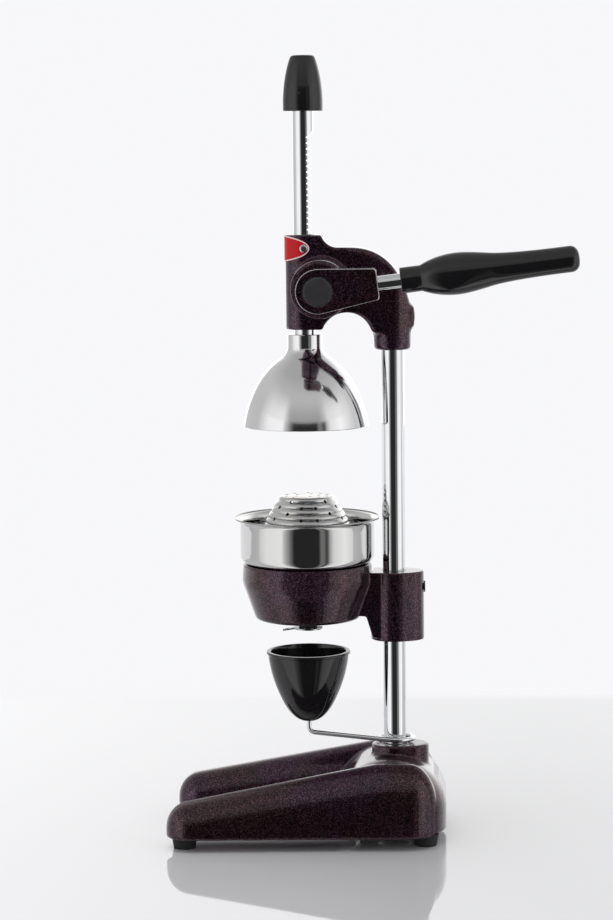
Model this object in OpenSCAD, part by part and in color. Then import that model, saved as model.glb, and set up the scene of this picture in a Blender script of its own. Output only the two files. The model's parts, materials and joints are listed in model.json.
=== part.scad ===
// Hand-lever citrus press: horseshoe base, post, fruit bowl on a holder,
// rack-and-pinion press head, and a swinging drip cup.
// Millimetres. Z is up from the table, the press axis is the Z axis, the post
// stands behind it at +Y and the lever is on the +X side.

/* [Fits] */
// Radial gap between a shaft and the bore that it turns, slides or sits in
fit = 0.05; // [0.02:0.01:0.08]
// Gap between faces of pieces that move past each other
gap = 0.3; // [0.2:0.05:0.5]

/* [Base] */
// Distance from the press axis back to the post axis
reach = 79.5; // [76:0.5:86]
// How far the legs reach in front of the press axis
leg_front = 128; // [118:1:140]
// Distance of each leg tip's centre line from the middle
leg_spread = 62; // [58:0.5:66]
// Distance of each leg's root from the middle
root_spread = 54; // [51:0.5:57]
// Width of a leg
leg_w = 45; // [41:0.5:48]
// Height of a leg's tip over the base's underside
tip_h = 32; // [28:0.5:38]
// Height of the base's body over its underside
body_h = 64.7; // [60:0.5:68]
// Radius of the body's round rear corners
body_r = 50.7; // [48:0.5:53]
// Half the distance between the centres of the rear corners
body_half = 28; // [25:0.5:31]
// Height of the post boss over the base's underside
boss_h = 73; // [70:0.5:80]
// Radius of the front of the post bosses
boss_r = 21.5; // [20:0.5:23]
// Radius of the rear of the base's boss
boss_rear_r = 18; // [16:0.5:20]
// How far the rear of the base's boss is centred behind the post
boss_back = 13.2; // [10:0.2:16]
// Radius of the round bay for the glass
bay_r = 42; // [38:0.5:44]
// Wall thickness of the base casting
base_wall = 5; // [4:0.5:6]

/* [Feet] */
// Height of a rubber foot
foot_h = 11; // [9:0.5:14]
// Radius of a foot where it meets the table
foot_r = 9.85; // [8:0.05:11]
// Radius of a foot where it meets the casting
foot_top_r = 11.85; // [10:0.05:12.5]
// How far the front feet sit behind the leg tips
foot_inset = 16.4; // [15:0.2:22]
// Distance of the rear feet from the middle
rear_foot_x = 50; // [46:0.5:52]
// How far the rear feet sit behind the post axis
rear_foot_back = 28.2; // [24:0.2:30]
// Radius of a foot screw's thread
foot_screw_r = 2.5; // [2:0.1:3]
// Radius of a foot screw's head
foot_head_r = 4.7; // [4:0.1:5.2]

/* [Post] */
// Radius of the post
post_r = 10.5; // [9.5:0.1:11.5]
// Length of the post
post_len = 470.5; // [440:0.5:500]
// Height of the post's seat over the base's underside
post_seat = 22; // [20:0.5:26]
// Radius of the post bolt's thread
post_bolt_r = 5; // [4:0.1:6]

/* [Bowl holder] */
// Height of the holder's rim over the table
holder_z = 252.5; // [240:0.5:270]
// Height of the holder's cup
holder_h = 52; // [46:0.5:58]
// Outer radius of the holder's rim
holder_r = 59.1; // [56:0.1:62]
// Outer radius of the holder's floor
holder_floor_r = 41.5; // [38:0.5:46]
// Wall thickness of the holder
holder_wall = 5; // [4:0.5:6]
// Width of the ledge that the bowl rests on
ledge_w = 9; // [8:0.2:10]
// Height of the clamp around the post
clamp_h = 63.3; // [58:0.5:70]
// How far the clamp's top lies under the holder's rim
clamp_drop = 7.5; // [3:0.5:9]
// Radius of the rear of the clamp
clamp_rear_r = 17.5; // [16:0.5:19]
// How far the rear of the clamp is centred behind the post
clamp_back = 9.9; // [8:0.1:12]
// Half the width of the neck between the cup and the clamp
neck_half = 18; // [14:0.5:20]
// Radius of the clamp's set screw
clamp_screw_r = 3.2; // [2.5:0.1:4]
// Radius of the set screw's flat head
clamp_head_r = 5.15; // [4.5:0.05:6]

/* [Juice bowl] */
// Outer radius of the bowl's wall
bowl_r = 61.5; // [60:0.1:63]
// Height of the bowl from its floor to its lip
bowl_h = 42.8; // [40:0.1:50]
// Outer radius of the bowl's lip
lip_r = 67.1; // [65:0.1:69]
// Height of the flare under the lip
flare_h = 5.5; // [4:0.5:12]
// Outer radius of the round corner under the wall
bowl_corner = 8; // [3:0.5:10]
// Thickness of the bowl's steel
bowl_t = 1.2; // [0.8:0.1:1.6]
// Outer radius of the bowl's outlet tube
outlet_r = 7.2; // [6:0.1:8]
// How far the outlet tube reaches under the holder
outlet_drop = 10; // [8:0.5:14]
// How far the bowl's floor falls to the outlet
funnel_drop = 11; // [8:0.5:16]

/* [Strainer] */
// Height of the strainer's dome over its flange
dome_h = 59.5; // [54:0.5:64]
// Radius of the dome where it meets the flange
dome_r = 45.5; // [42:0.5:47]
// Radius of the dome's flat top
dome_top_r = 24.4; // [20:0.2:27]
// Outer radius of the flange
flange_r = 52; // [50:0.5:53]
// Thickness of the strainer's steel
dome_t = 1.2; // [0.8:0.1:1.6]
// Number of ribs up the dome
dome_ribs = 10; // [8:1:12]
// Radius of a juice hole
juice_hole_r = 1.5; // [0.8:0.05:1.6]

/* [Spout] */
// Outer radius of the black sleeve around the outlet
seal_r = 8.5; // [8.3:0.1:10]
// How far the sleeve shows under the holder
seal_drop = 8.1; // [4:0.1:9]
// Outer radius of the spout clip's ring
clip_r = 13.4; // [11:0.2:16]
// Thickness of the spout clip
clip_t = 1.2; // [0.8:0.1:1.4]
// How far the clip's ear reaches in front of the press axis
clip_ear = 23.4; // [20:0.2:26]

/* [Head] */
// Height of the head's rear socket over the post
socket_deep = 56; // [50:0.5:60]
// Outer radius of the head's two upright tubes
tube_r = 17.4; // [16.4:0.1:18.4]
// Height of the front tube's lower end over the rear tube's lower end
front_low = 19.5; // [18:0.1:22]
// Length of the front tube
front_len = 86; // [80:0.5:92]
// Height of the arm's top over the rear tube's lower end
arm_top = 94; // [90:0.5:98]
// Radius of the arch under the arm
arch_r = 23; // [20:0.5:24]
// Height of the arch's centre over the rear tube's lower end
arch_low = 12; // [8:0.5:15]
// Height of the pinion axis over the rear tube's lower end
pinion_up = 58.2; // [56:0.1:61]
// Radius of the barrel around the pinion shaft
barrel_r = 26.5; // [24:0.5:28]
// Distance from the press axis to the barrel's face on the lever side
barrel_face = 65; // [60:0.5:70]
// Distance from the press axis to the barrel's face on the far side
barrel_back = 24; // [21:0.5:28]
// Radius of the boss around the head's set screw
screw_boss_r = 10; // [8:0.5:11]
// How far the set screw's boss stands out of the rear tube
screw_boss_out = 4; // [2:0.5:6]
// Radius of the head's set screw
head_screw_r = 4; // [3:0.1:5]

/* [Rack and pinion] */
// Radius of the rack rod
rod_r = 9.5; // [9:0.1:10]
// Gear module, which is the tooth pitch over pi
gear_module = 1.65; // [1.6:0.01:1.7]
// Number of teeth on the pinion
pinion_teeth = 13; // [13:1:13]
// Distance from the press axis back to the pinion axis
pinion_back = 16.2; // [15.9:0.05:16.5]
// Width of the pinion's teeth
pinion_w = 18; // [14:0.5:20]
// Play between the teeth of the pinion and the rack
backlash = 0.5; // [0.3:0.05:0.7]
// Travel of the rod from its top stop
travel = 105; // [95:1:107]
// Radius of the pinion shaft
shaft_r = 7; // [6:0.1:7.5]

/* [Press cone and knob] */
// Outer radius of the cone's rim
cone_r = 57.3; // [55:0.1:58]
// Height of the cone's bell
bell_h = 62; // [58:0.5:66]
// Height of the cone's neck over the bell
neck_h = 22; // [20:0.5:26]
// Outer radius of the neck
neck_r = 15.9; // [14:0.1:17]
// Wall thickness of the cone at its rim
cone_wall = 3.2; // [2.6:0.1:4]
// Depth of the rod's socket in the neck
cone_socket = 15; // [12:0.5:16]
// Gap between the head and the neck with the rod raised
neck_gap = 4.4; // [3:0.1:6]
// Radius of the cone screw's thread
cone_screw_r = 4; // [3:0.1:5]
// Height of the knob
knob_h = 50; // [44:0.5:56]
// Radius of the knob's lower end
knob_r = 18.2; // [16:0.1:20]
// Radius of the knob's upper end
knob_top_r = 11.6; // [10:0.1:13]
// Distance from the head up to the knob with the rod raised
knob_gap = 111; // [109:1:120]
// Depth of the rod's socket in the knob
knob_socket = 26; // [20:0.5:32]

/* [Lever] */
// Distance from the press axis to the middle of the lever
lever_x = 92; // [90:0.5:94]
// Angle of the lever over the horizontal at rest
lever_tilt = 6.8; // [0:0.2:15]
// Thickness of the lever's arm
arm_t = 26; // [22:0.5:28]
// Radius of the arm's round end
arm_r = 19.7; // [18:0.1:22]
// Length of the arm from the shaft
arm_len = 53; // [46:0.5:58]
// Height of the arm's square end
arm_end_h = 27.6; // [24:0.2:32]
// Radius of the lever's rod
lever_rod_r = 6.5; // [5.5:0.1:7]
// Length of the rod that shows between the arm and the grip
bare_rod = 20; // [15:0.5:26]
// Length of the grip
grip_len = 157; // [140:1:170]
// Radius of the grip at its thickest
grip_r = 18.6; // [16:0.1:20]
// Radius of the grip's collar
collar_r = 11.5; // [10:0.05:13]
// Radius of the grip near its end
grip_end_r = 11.7; // [10:0.1:13]
// Radius of the cap over the lever's bolt
cap_r = 12.5; // [11.5:0.1:13.5]

/* [Drip cup] */
// Outer radius of the cup's rim
cup_r = 38.7; // [36:0.1:42]
// Height of the cup
cup_h = 66; // [58:0.5:70]
// Wall thickness of the cup
cup_wall = 3; // [2:0.1:4]
// Radius of the wire of the cup's arm
wire_r = 2.25; // [1.8:0.05:2.6]
// Height of the cup's lowest point over the base's boss
cup_lift = 20.5; // [18:0.5:24]
// Height of the arm's level run over the base's boss
wire_lift = 9.8; // [8:0.2:11]
// Radius of the eye around the post, to the middle of the wire
eye_r = 17; // [15:0.1:18]

/* [Name plate] */
// Height of the plate
plate_h = 24.2; // [20:0.5:28]
// Thickness of the plate
plate_t = 0.8; // [0.5:0.1:1.2]
// How far the plate reaches along the arm's sides past the tube's middle
plate_tail = 5.6; // [4:0.2:8]
// How far the plate's middle lies under the front tube's top
plate_drop = 12.3; // [12:0.1:16]
// Radius of a rivet's head
rivet_r = 3.7; // [3:0.1:4.2]

/* [Hidden] */
$fn = 64;
// Facets of round shapes inside a hull: of the hollow, and of the casting's outside
hull_fn = 32;
dome_fn = 48;
// Overlap of cutting shapes past the faces that they cut
cut = 1;

// Heights over the table
boss_top = foot_h + boss_h;
post_z = foot_h + post_seat;
post_top = post_z + post_len;
head_z = post_top - socket_deep + gap;
front_z = head_z + front_low;
front_top = front_z + front_len;
pinion_z = head_z + pinion_up;
neck_top = front_z - neck_gap;
rim_z = neck_top - neck_h - bell_h;
knob_z = front_top + knob_gap;
rod_z = neck_top - cone_socket;
rod_top = knob_z + knob_socket;
holder_low = holder_z - holder_h;
clamp_top = holder_z - clamp_drop;
clamp_z = clamp_top - clamp_h;
bowl_top = holder_z + bowl_h;
outlet_z = holder_low - outlet_drop;
cup_z = boss_top + cup_lift;
cup_top = cup_z + cup_h;
plate_z = front_top - plate_drop;

// Base
leg_r = leg_w / 2;
root_r = leg_r + 1.5;
tip_rise = 24;
root_rise = 38;
root_front = 15;
root_back = 13.5;
body_rise = 44;
post_web = 9;
column_r = 17;
pad_r = 8.5;
washer_t = 2;
washer_r = 11;
bolt_head_h = 6.4;
bolt_head_r = 9.8;
bolt_pocket_r = washer_r + 1;
bolt_grip = 20;
foot_recess = 6;
foot_recess_r = foot_head_r + 0.8;
foot_head_h = 3;
foot_grip = 12;
body_y = reach - 3.5;
front_foot_y = -leg_front + foot_inset;
rear_foot_y = reach + rear_foot_back;
body_roof = 23;
leg_roof = 24;
FEET = [for (sx = [-1, 1]) each [[sx * (leg_spread - 0.7), front_foot_y], [sx * rear_foot_x, rear_foot_y]]];

// Holder and bowl
clamp_screw_drop = 15;
clamp_rear_y = reach + clamp_back + clamp_rear_r;
floor_r = bowl_r - bowl_corner;
funnel_r = holder_r - ledge_w - 2;
strainer_z = holder_z + bowl_t + gap;
dome_base_z = strainer_z + dome_t;
rib_pitch = 5.2;
hole_turn = 6;
belly_out = 0.85;
top_groove = dome_h - 3.6;
rib_out = 0.9;

// Head
arch_y = (reach - 3) / 2;
head_screw_z = head_z + 30.5;
socket_tube = 40;
arm_flat_end = reach - 35;
arm_rear_z = head_z + pinion_up - 18;
leg_z = head_z + 16;
plate_quarter = PI / 2 * tube_r;
plate_reach = plate_quarter + plate_tail;
rivet_y = 0.2;
rivet_pin_r = 1.5;

// Gear train: the rack's teeth are cut for a pinion that rolls on roll_y
pitch = PI * gear_module;
pitch_r = gear_module * pinion_teeth / 2;
shift = 0.4;
pressure = 20;
base_r = pitch_r * cos(pressure);
tip_r = pitch_r + gear_module + shift;
root_gear_r = pitch_r + shift - 1.25 * gear_module;
roll_y = pinion_back - pitch_r;
rack_tip_y = roll_y + gear_module - shift;
rack_root_y = rack_tip_y - 2.25 * gear_module;
gaps_below = 2;
gaps_above = ceil(travel / pitch) + 5;
rack_low = pinion_z - (gaps_below + 0.5) * pitch;
rack_high = pinion_z + (gaps_above + 0.5) * pitch;
rack_run_out = 8;
bush_r = tip_r + 2 * gap;
pinion_side = pinion_w / 2;
ring_t = 1.2;
ring_x = -barrel_back - gap;
ring_groove = 0.7;

// Lever: every x below is measured from the press axis
arm_x = lever_x - arm_t / 2;
arm_face = lever_x + arm_t / 2;
cap_deep = 7;
cap_floor = arm_face - cap_deep;
cap_out = 1;
shaft_end = cap_floor - gap;
hub_r = 15;
key_w = 4;
key_len = 20;
lever_washer_t = 1.5;
lever_bolt_r = 3;
lever_bolt_head = 3.5;
rod_in_arm = 27;
rod_start = arm_len - rod_in_arm;
grip_start = arm_len + bare_rod;
rod_in_grip = 60;

// Drip arm
cup_floor_t = 8;
wire_socket = 6;
bend_r = 6;
wire_z = boss_top + wire_lift;
eye_z = boss_top + wire_r + gap;
eye_drop = 3.2;
tangent_angle = asin(eye_r / (reach - bend_r));
eye_end = 250;

// Cone: the bell's waist and crown are the joints of its curves, as radius and height
waist = [cone_r - 15.9, bell_h - 18.3];
crown = [neck_r + 7.3, bell_h];
waist_in = waist - [3, 1.7];
crown_in = crown - [3.2, 3.5];
seat_h = bell_h - 1;
cone_seat = rim_z + seat_h;
cone_flange_r = 9;
cone_screw_grip = 14;

// Points of a quadratic curve from a to c, pulled towards b
function curve(a, b, c, n = 10) =
    [for (i = [0:n]) let (t = i / n) a * (1 - t) * (1 - t) + 2 * b * t * (1 - t) + c * t * t];

// Points of an arc round a centre, from one angle to another
function arc(centre, r, from, to, n = 8) =
    [for (i = [0:n]) let (a = from + (to - from) * i / n) centre + r * [cos(a), sin(a)]];

// Angle and radius of an involute at a roll angle in degrees
function involute(r, roll) = let (t = roll * PI / 180)
    [r * sqrt(1 + t * t), roll - atan(t)];

// A round tube along a list of points
module swept_tube(path, r, sides = 12) {
    n = len(path);
    tangents = [for (i = [0:n - 1])
        let (d = path[min(i + 1, n - 1)] - path[max(i - 1, 0)]) d / norm(d)];
    rings = [for (i = [0:n - 1])
        let (
            t = tangents[i],
            side = abs(t[2]) > 0.9 ? cross(t, [1, 0, 0]) : cross([0, 0, 1], t),
            u = side / norm(side),
            v = cross(t, u)
        )
        [for (k = [0:sides - 1]) let (a = 360 * k / sides) path[i] + r * (cos(a) * u + sin(a) * v)]];
    points = [for (ring = rings) each ring];
    sides_faces = [for (i = [0:n - 2], k = [0:sides - 1])
        [i * sides + k, i * sides + (k + 1) % sides, (i + 1) * sides + (k + 1) % sides, (i + 1) * sides + k]];
    first = [for (k = [sides - 1:-1:0]) k];
    last = [for (k = [0:sides - 1]) (n - 1) * sides + k];
    polyhedron(points, concat(sides_faces, [first, last]), convexity = 6);
}

// A side view drawn in Y and Z, made into a plate that reaches back along -X
module side_plate(thick) {
    rotate([90, 0, -90]) mirror([1, 0, 0]) linear_extrude(thick) children();
}

// A cylinder along +X from x0 to x1, at the pinion axis
module on_shaft(r, x0, x1) {
    translate([x0, pinion_back, pinion_z]) rotate([0, 90, 0]) cylinder(r = r, h = x1 - x0);
}

// Moves its children to the lever: local +Y runs along the lever
module at_lever() {
    translate([0, pinion_back, pinion_z]) rotate([lever_tilt, 0, 0]) children();
}

// A round pillar with a domed top, for use in a hull
module domed_pillar(r, h, rise) {
    cylinder(r = r, h = h - rise, $fn = dome_fn);
    translate([0, 0, h - rise]) intersection() {
        scale([r, r, rise]) sphere(r = 1, $fn = dome_fn);
        translate([-r, -r, 0]) cube([2 * r, 2 * r, rise]);
    }
}

// The plan of a boss round the post that reaches further back than forward
module boss_plan(front_r, rear_r, back) {
    hull() {
        circle(r = front_r, $fn = 48);
        translate([0, back]) circle(r = rear_r, $fn = 48);
    }
}

// ---- Base ----

module base_legs() {
    for (sx = [-1, 1]) hull() {
        translate([sx * leg_spread, -leg_front + leg_r, foot_h]) domed_pillar(leg_r, tip_h, tip_rise);
        for (p = [[root_spread, reach - root_front], [root_spread - 1, reach + root_back]])
            translate([sx * p[0], p[1], foot_h]) domed_pillar(root_r, body_h, root_rise);
    }
}

module base_body() {
    difference() {
        hull() for (sx = [-1, 1]) translate([sx * body_half, body_y, foot_h])
            domed_pillar(body_r, body_h, body_rise);
        translate([0, 0, foot_h - cut]) cylinder(r = bay_r, h = body_h + 2 * cut);
    }
}

// The hollow under the casting
module base_hollow() {
    tip_in = leg_r - base_wall;
    root_in = root_r - base_wall;
    body_in = body_r - base_wall - 8;
    for (sx = [-1, 1]) hull() {
        translate([sx * leg_spread, -leg_front + leg_r, foot_h - cut])
            cylinder(r = tip_in, h = tip_h - 13 + cut, $fn = hull_fn);
        translate([sx * root_spread, reach - root_front, foot_h - cut])
            cylinder(r = root_in, h = body_h - leg_roof + cut, $fn = hull_fn);
    }
    difference() {
        hull() for (sx = [-1, 1]) translate([sx * body_half, body_y, foot_h - cut])
            cylinder(r = body_in, h = body_h - body_roof + cut, $fn = hull_fn);
        translate([0, 0, foot_h - 2 * cut]) cylinder(r = bay_r + base_wall, h = body_h);
    }
}

// The solid parts inside the hollow, for the post and for the foot screws
module base_columns() {
    translate([0, reach, foot_h]) cylinder(r = column_r, h = body_h - base_wall);
    for (p = FEET) translate([p[0], p[1], foot_h]) cylinder(r = pad_r, h = foot_grip + 8);
}

module base_casting() {
    color("#3a2633") difference() {
        union() {
            difference() {
                union() {
                    base_legs();
                    base_body();
                }
                difference() {
                    base_hollow();
                    base_columns();
                }
            }
            translate([0, reach, foot_h + body_h - 22]) linear_extrude(boss_h - body_h + 22)
                boss_plan(boss_r, boss_rear_r, boss_back);
        }
        translate([0, reach, post_z]) cylinder(r = post_r + fit, h = boss_h);
        translate([0, reach, foot_h]) cylinder(r = post_bolt_r + gap, h = boss_h);
        translate([0, reach, -cut]) cylinder(r = bolt_pocket_r, h = post_z - post_web + cut);
        for (p = FEET) translate([p[0], p[1], foot_h - cut])
            cylinder(r = foot_screw_r + fit, h = foot_grip + 2 + cut);
    }
}

module rubber_feet() {
    color("#141414") for (p = FEET) translate([p[0], p[1], 0]) difference() {
        cylinder(r1 = foot_r, r2 = foot_top_r, h = foot_h);
        translate([0, 0, -cut]) cylinder(r = foot_recess_r, h = foot_recess + cut);
        cylinder(r = foot_screw_r + fit, h = foot_h + cut);
    }
}

module foot_screws() {
    color("silver") for (p = FEET) translate([p[0], p[1], foot_recess - foot_head_h]) difference() {
        union() {
            cylinder(r = foot_head_r, h = foot_head_h);
            cylinder(r = foot_screw_r, h = foot_head_h + foot_h - foot_recess + foot_grip);
        }
        for (a = [0, 90]) rotate([0, 0, a]) translate([-3, -0.6, -cut]) cube([6, 1.2, 1.6 + cut]);
    }
}

module post() {
    color("#d8dadc") translate([0, reach, post_z]) difference() {
        rotate_extrude() polygon([
            [0, 0], [post_r, 0], [post_r, post_len - 1], [post_r - 1, post_len], [0, post_len]
        ]);
        translate([0, 0, -cut]) cylinder(r = post_bolt_r + fit, h = bolt_grip + 2 + cut);
    }
}

module post_washer() {
    color("silver") translate([0, reach, post_z - post_web - washer_t]) difference() {
        cylinder(r = washer_r, h = washer_t);
        translate([0, 0, -cut]) cylinder(r = post_bolt_r + gap, h = washer_t + 2 * cut);
    }
}

module post_bolt() {
    color("silver") translate([0, reach, post_z - post_web - washer_t]) {
        translate([0, 0, -bolt_head_h]) cylinder(r = bolt_head_r, h = bolt_head_h, $fn = 6);
        cylinder(r = post_bolt_r, h = washer_t + post_web + bolt_grip);
    }
}

// ---- Bowl holder ----

module holder_outline(inset) {
    low = holder_low + inset;
    floor_edge = holder_floor_r - inset;
    rim = holder_r - inset;
    polygon(concat(
        [[0, low]],
        curve([floor_edge, low], [rim - 11.7, low], [rim - 10.2, low + 3.2], 5),
        curve([rim - 0.5, low + 31.2], [rim + belly_out, low + 34.8], [rim + belly_out, low + 39], 5),
        [[rim, holder_z], [0, holder_z]]
    ));
}

module holder_neck() {
    inner_y = holder_r - 18;
    front_y = reach - boss_r + 2;
    translate([neck_half, 0, 0]) side_plate(2 * neck_half)
        polygon([
            [inner_y, holder_low + 5], [front_y - 6, holder_low + 4], [front_y, clamp_z + 3],
            [reach, clamp_z + 3], [reach, clamp_top], [inner_y, clamp_top]
        ]);
}

module holder_casting() {
    color("#3a2633") difference() {
        union() {
            rotate_extrude() holder_outline(0);
            holder_neck();
            translate([0, reach, clamp_z]) linear_extrude(clamp_h)
                boss_plan(boss_r, clamp_rear_r, clamp_back);
        }
        intersection() {
            rotate_extrude() holder_outline(holder_wall);
            cylinder(r = holder_r + belly_out, h = holder_z - holder_wall);
        }
        translate([0, 0, holder_z - holder_wall - cut])
            cylinder(r = holder_r - ledge_w, h = holder_wall + 2 * cut);
        translate([0, 0, holder_low - cut]) cylinder(r = seal_r + fit, h = holder_wall + 2 * cut);
        translate([0, reach, clamp_z - cut]) cylinder(r = post_r + fit, h = clamp_h + 2 * cut);
        translate([0, reach, clamp_top - clamp_screw_drop]) rotate([-90, 0, 0])
            cylinder(r = clamp_screw_r + fit, h = clamp_rear_y);
    }
}

module holder_screw() {
    seat = clamp_rear_y - reach - post_r;
    head_h = 1.2;
    color("#1c1c1e") translate([0, reach + post_r + fit, clamp_top - clamp_screw_drop])
        rotate([-90, 0, 0]) difference() {
            union() {
                cylinder(r = clamp_screw_r, h = seat + cut);
                translate([0, 0, seat]) cylinder(r = clamp_head_r, h = head_h);
            }
            translate([0, 0, seat - 1]) cylinder(r = clamp_screw_r - 1.2, h = 4, $fn = 6);
        }
}

// ---- Bowl, strainer and spout ----

module juice_bowl() {
    wall_top = bowl_top - flare_h;
    low = holder_z;
    inner_corner = bowl_corner - bowl_t;
    outlet_in = outlet_r - bowl_t;
    funnel_top = outlet_r + 1;
    color("#c9cbcd") rotate_extrude() polygon(concat(
        [[outlet_r, outlet_z], [outlet_r, low - funnel_drop], [funnel_r, low]],
        arc([floor_r, low + bowl_corner], bowl_corner, -90, 0),
        [[bowl_r, wall_top]],
        curve([bowl_r, wall_top], [bowl_r + 0.5, bowl_top - 1.5], [lip_r, bowl_top - 1.2], 6),
        arc([lip_r - 0.6, bowl_top - 0.6], 0.6, -45, 180, 6),
        curve([lip_r - bowl_t, bowl_top - 1.2 + 0.2], [bowl_r - bowl_t + 1.2, bowl_top - 1.3 + 0.2],
              [bowl_r - bowl_t, wall_top], 6),
        arc([floor_r, low + bowl_corner], inner_corner, 0, -90),
        [[funnel_r, low + bowl_t], [outlet_in, low - funnel_drop + bowl_t], [outlet_in, outlet_z]]
    ));
}

// Radius of the dome in its grooves, at a height over its foot
function dome_side(h) = dome_r - (dome_r - dome_top_r) * pow(h / (dome_h - 1.5), 2);

// Round ribs between grooves, all the way up the dome
module strainer_outline(inset) {
    quarters = 4 * dome_ribs;
    ribs = [for (i = [0:quarters])
        let (h = top_groove - rib_pitch * (quarters - i) / 4)
        [dome_side(h) + rib_out * abs(sin(45 * i)) - inset, h]];
    polygon(concat(
        [[0, -dome_t - cut], [dome_r - inset, -dome_t - cut]],
        ribs,
        [[dome_top_r + 1.3 - inset, dome_h - 2.2 - inset], [dome_top_r + 0.6 - inset, dome_h - 0.8 - inset],
         [dome_top_r - 0.8 - inset, dome_h - inset], [0, dome_h - inset]]
    ));
}

// Juice holes: rows of five single holes and rows of five pairs by turns
module juice_holes() {
    for (row = [0:dome_ribs - 4]) {
        height = top_groove - row * rib_pitch;
        angles = row % 2 == 0
            ? [for (k = [0:4]) hole_turn + 36 + 72 * k]
            : [for (k = [0:4], s = [-1, 1]) hole_turn + 72 * k + 12 * s];
        for (a = angles) translate([0, 0, height]) rotate([0, 90, a]) translate([0, 0, dome_top_r - 6])
            cylinder(r = juice_hole_r, h = dome_r);
    }
    for (k = [0:9]) rotate([0, 0, 36 * k]) translate([dome_top_r * 0.8, 0, dome_h - 6])
        cylinder(r = juice_hole_r, h = 8);
    for (k = [0:4]) rotate([0, 0, 72 * k + 18]) translate([dome_top_r * 0.45, 0, dome_h - 6])
        cylinder(r = juice_hole_r, h = 8);
}

module strainer() {
    color("#bfc1c3") translate([0, 0, dome_base_z]) difference() {
        union() {
            rotate_extrude() strainer_outline(0);
            translate([0, 0, -dome_t]) cylinder(r = flange_r, h = dome_t);
        }
        rotate_extrude() strainer_outline(dome_t);
        translate([0, 0, -dome_t - 2 * cut]) cylinder(r = flange_r + cut, h = 2 * cut);
        juice_holes();
    }
}

module spout_seal() {
    color("#101010") difference() {
        union() {
            translate([0, 0, holder_low - seal_drop]) cylinder(r = seal_r, h = seal_drop + holder_wall);
            translate([0, 0, holder_low + holder_wall]) cylinder(r = seal_r + 3.5, h = 2);
        }
        cylinder(r = outlet_r + fit, h = holder_z);
    }
}

module spout_clip() {
    clip_z = holder_low - seal_drop - gap - clip_t;
    ear_w = 7;
    color("#b8babc") translate([0, 0, clip_z]) difference() {
        union() {
            cylinder(r = clip_r, h = clip_t);
            translate([0, -clip_r + 2, clip_t / 2]) rotate([8, 0, 0]) difference() {
                translate([-ear_w / 2, -(clip_ear - clip_r) - 2, -clip_t / 2])
                    cube([ear_w, clip_ear - clip_r + 2, clip_t]);
                translate([0, -(clip_ear - clip_r) + 2, -clip_t]) cylinder(r = 1.6, h = 2 * clip_t);
            }
        }
        translate([0, 0, -cut]) cylinder(r = outlet_r + fit, h = clip_t + 2 * cut);
        translate([-3, 0, -cut]) cube([6, clip_r + cut, clip_t + 2 * cut]);
    }
}

// ---- Press head ----

// Side view of the arm between the two tubes, in Y and Z
module arm_profile() {
    top = head_z + arm_top;
    rear = reach + tube_r;
    difference() {
        polygon(concat(
            [[0, front_z], [0, front_top - 0.3]],
            curve([tube_r - 1.5, front_top - 0.3], [tube_r + 2, top + 2], [tube_r + 11, top], 6),
            curve([arm_flat_end, top], [reach + 5.5, top - 1.5], [rear, arm_rear_z]),
            [[reach, leg_z], [arch_y, leg_z], [arch_y, front_z]]
        ));
        translate([arch_y, head_z + arch_low]) circle(r = arch_r);
        translate([arch_y - arch_r, 0]) square([2 * arch_r, head_z + arch_low]);
    }
}

module head_arm() {
    intersection() {
        translate([tube_r, 0, 0]) side_plate(2 * tube_r) arm_profile();
        linear_extrude(front_top) union() {
            circle(r = tube_r);
            translate([-tube_r, 0]) square([2 * tube_r, reach]);
            translate([0, reach]) circle(r = tube_r);
        }
    }
}

module head_casting() {
    color("#3a2633") difference() {
        union() {
            translate([0, 0, front_z]) cylinder(r = tube_r, h = front_len);
            translate([0, reach, head_z]) cylinder(r = tube_r, h = socket_tube);
            head_arm();
            on_shaft(barrel_r, -barrel_back, barrel_face);
            translate([0, reach, head_screw_z]) rotate([-90, 0, 0])
                cylinder(r = screw_boss_r, h = tube_r + screw_boss_out);
        }
        translate([0, 0, front_z - cut]) cylinder(r = rod_r + fit, h = front_len + 2 * cut);
        translate([0, reach, head_z - cut]) cylinder(r = post_r + fit, h = socket_deep + cut);
        on_shaft(bush_r + fit, -pinion_side - gap, barrel_face + cut);
        on_shaft(shaft_r + fit, -barrel_back - cut, 0);
        translate([0, reach, head_screw_z]) rotate([-90, 0, 0])
            cylinder(r = head_screw_r + fit, h = tube_r + screw_boss_out + cut);
        for (sx = [-1, 1]) translate([sx * tube_r, rivet_y, plate_z]) rotate([0, 90, 0])
            cylinder(r = rivet_pin_r + fit, h = 8, center = true);
    }
}

module head_screw() {
    screw_len = tube_r + screw_boss_out - post_r - 1;
    color("#2a2a2c") translate([0, reach + post_r + fit, head_screw_z]) rotate([-90, 0, 0]) difference() {
        cylinder(r = head_screw_r, h = screw_len);
        translate([0, 0, screw_len - 4]) cylinder(r = 2.3, h = 5, $fn = 6);
    }
}

module shaft_bush() {
    color("#b08d57") difference() {
        on_shaft(bush_r, pinion_side + gap, barrel_face);
        on_shaft(shaft_r + fit, 0, barrel_face + cut);
    }
}

module shaft_ring() {
    color("#3c3c3e") difference() {
        on_shaft(shaft_r + 4, ring_x - ring_t, ring_x);
        on_shaft(shaft_r - ring_groove + fit, ring_x - ring_t - cut, ring_x + cut);
        translate([ring_x - ring_t - cut, pinion_back - 3, pinion_z - 2 * shaft_r])
            cube([ring_t + 2 * cut, 6, 2 * shaft_r]);
    }
}

// Half-height of the plate at a distance along it from the middle of its front
function plate_edge(along) = plate_h / 2 * sqrt(max(0, 1 - pow(along / plate_reach, 2)));

// Plan of the tube and the arm's sides as far back as the plate reaches
module plate_plan(r) {
    circle(r = r);
    translate([-r, 0]) square([2 * r, plate_tail + cut]);
}

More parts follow.
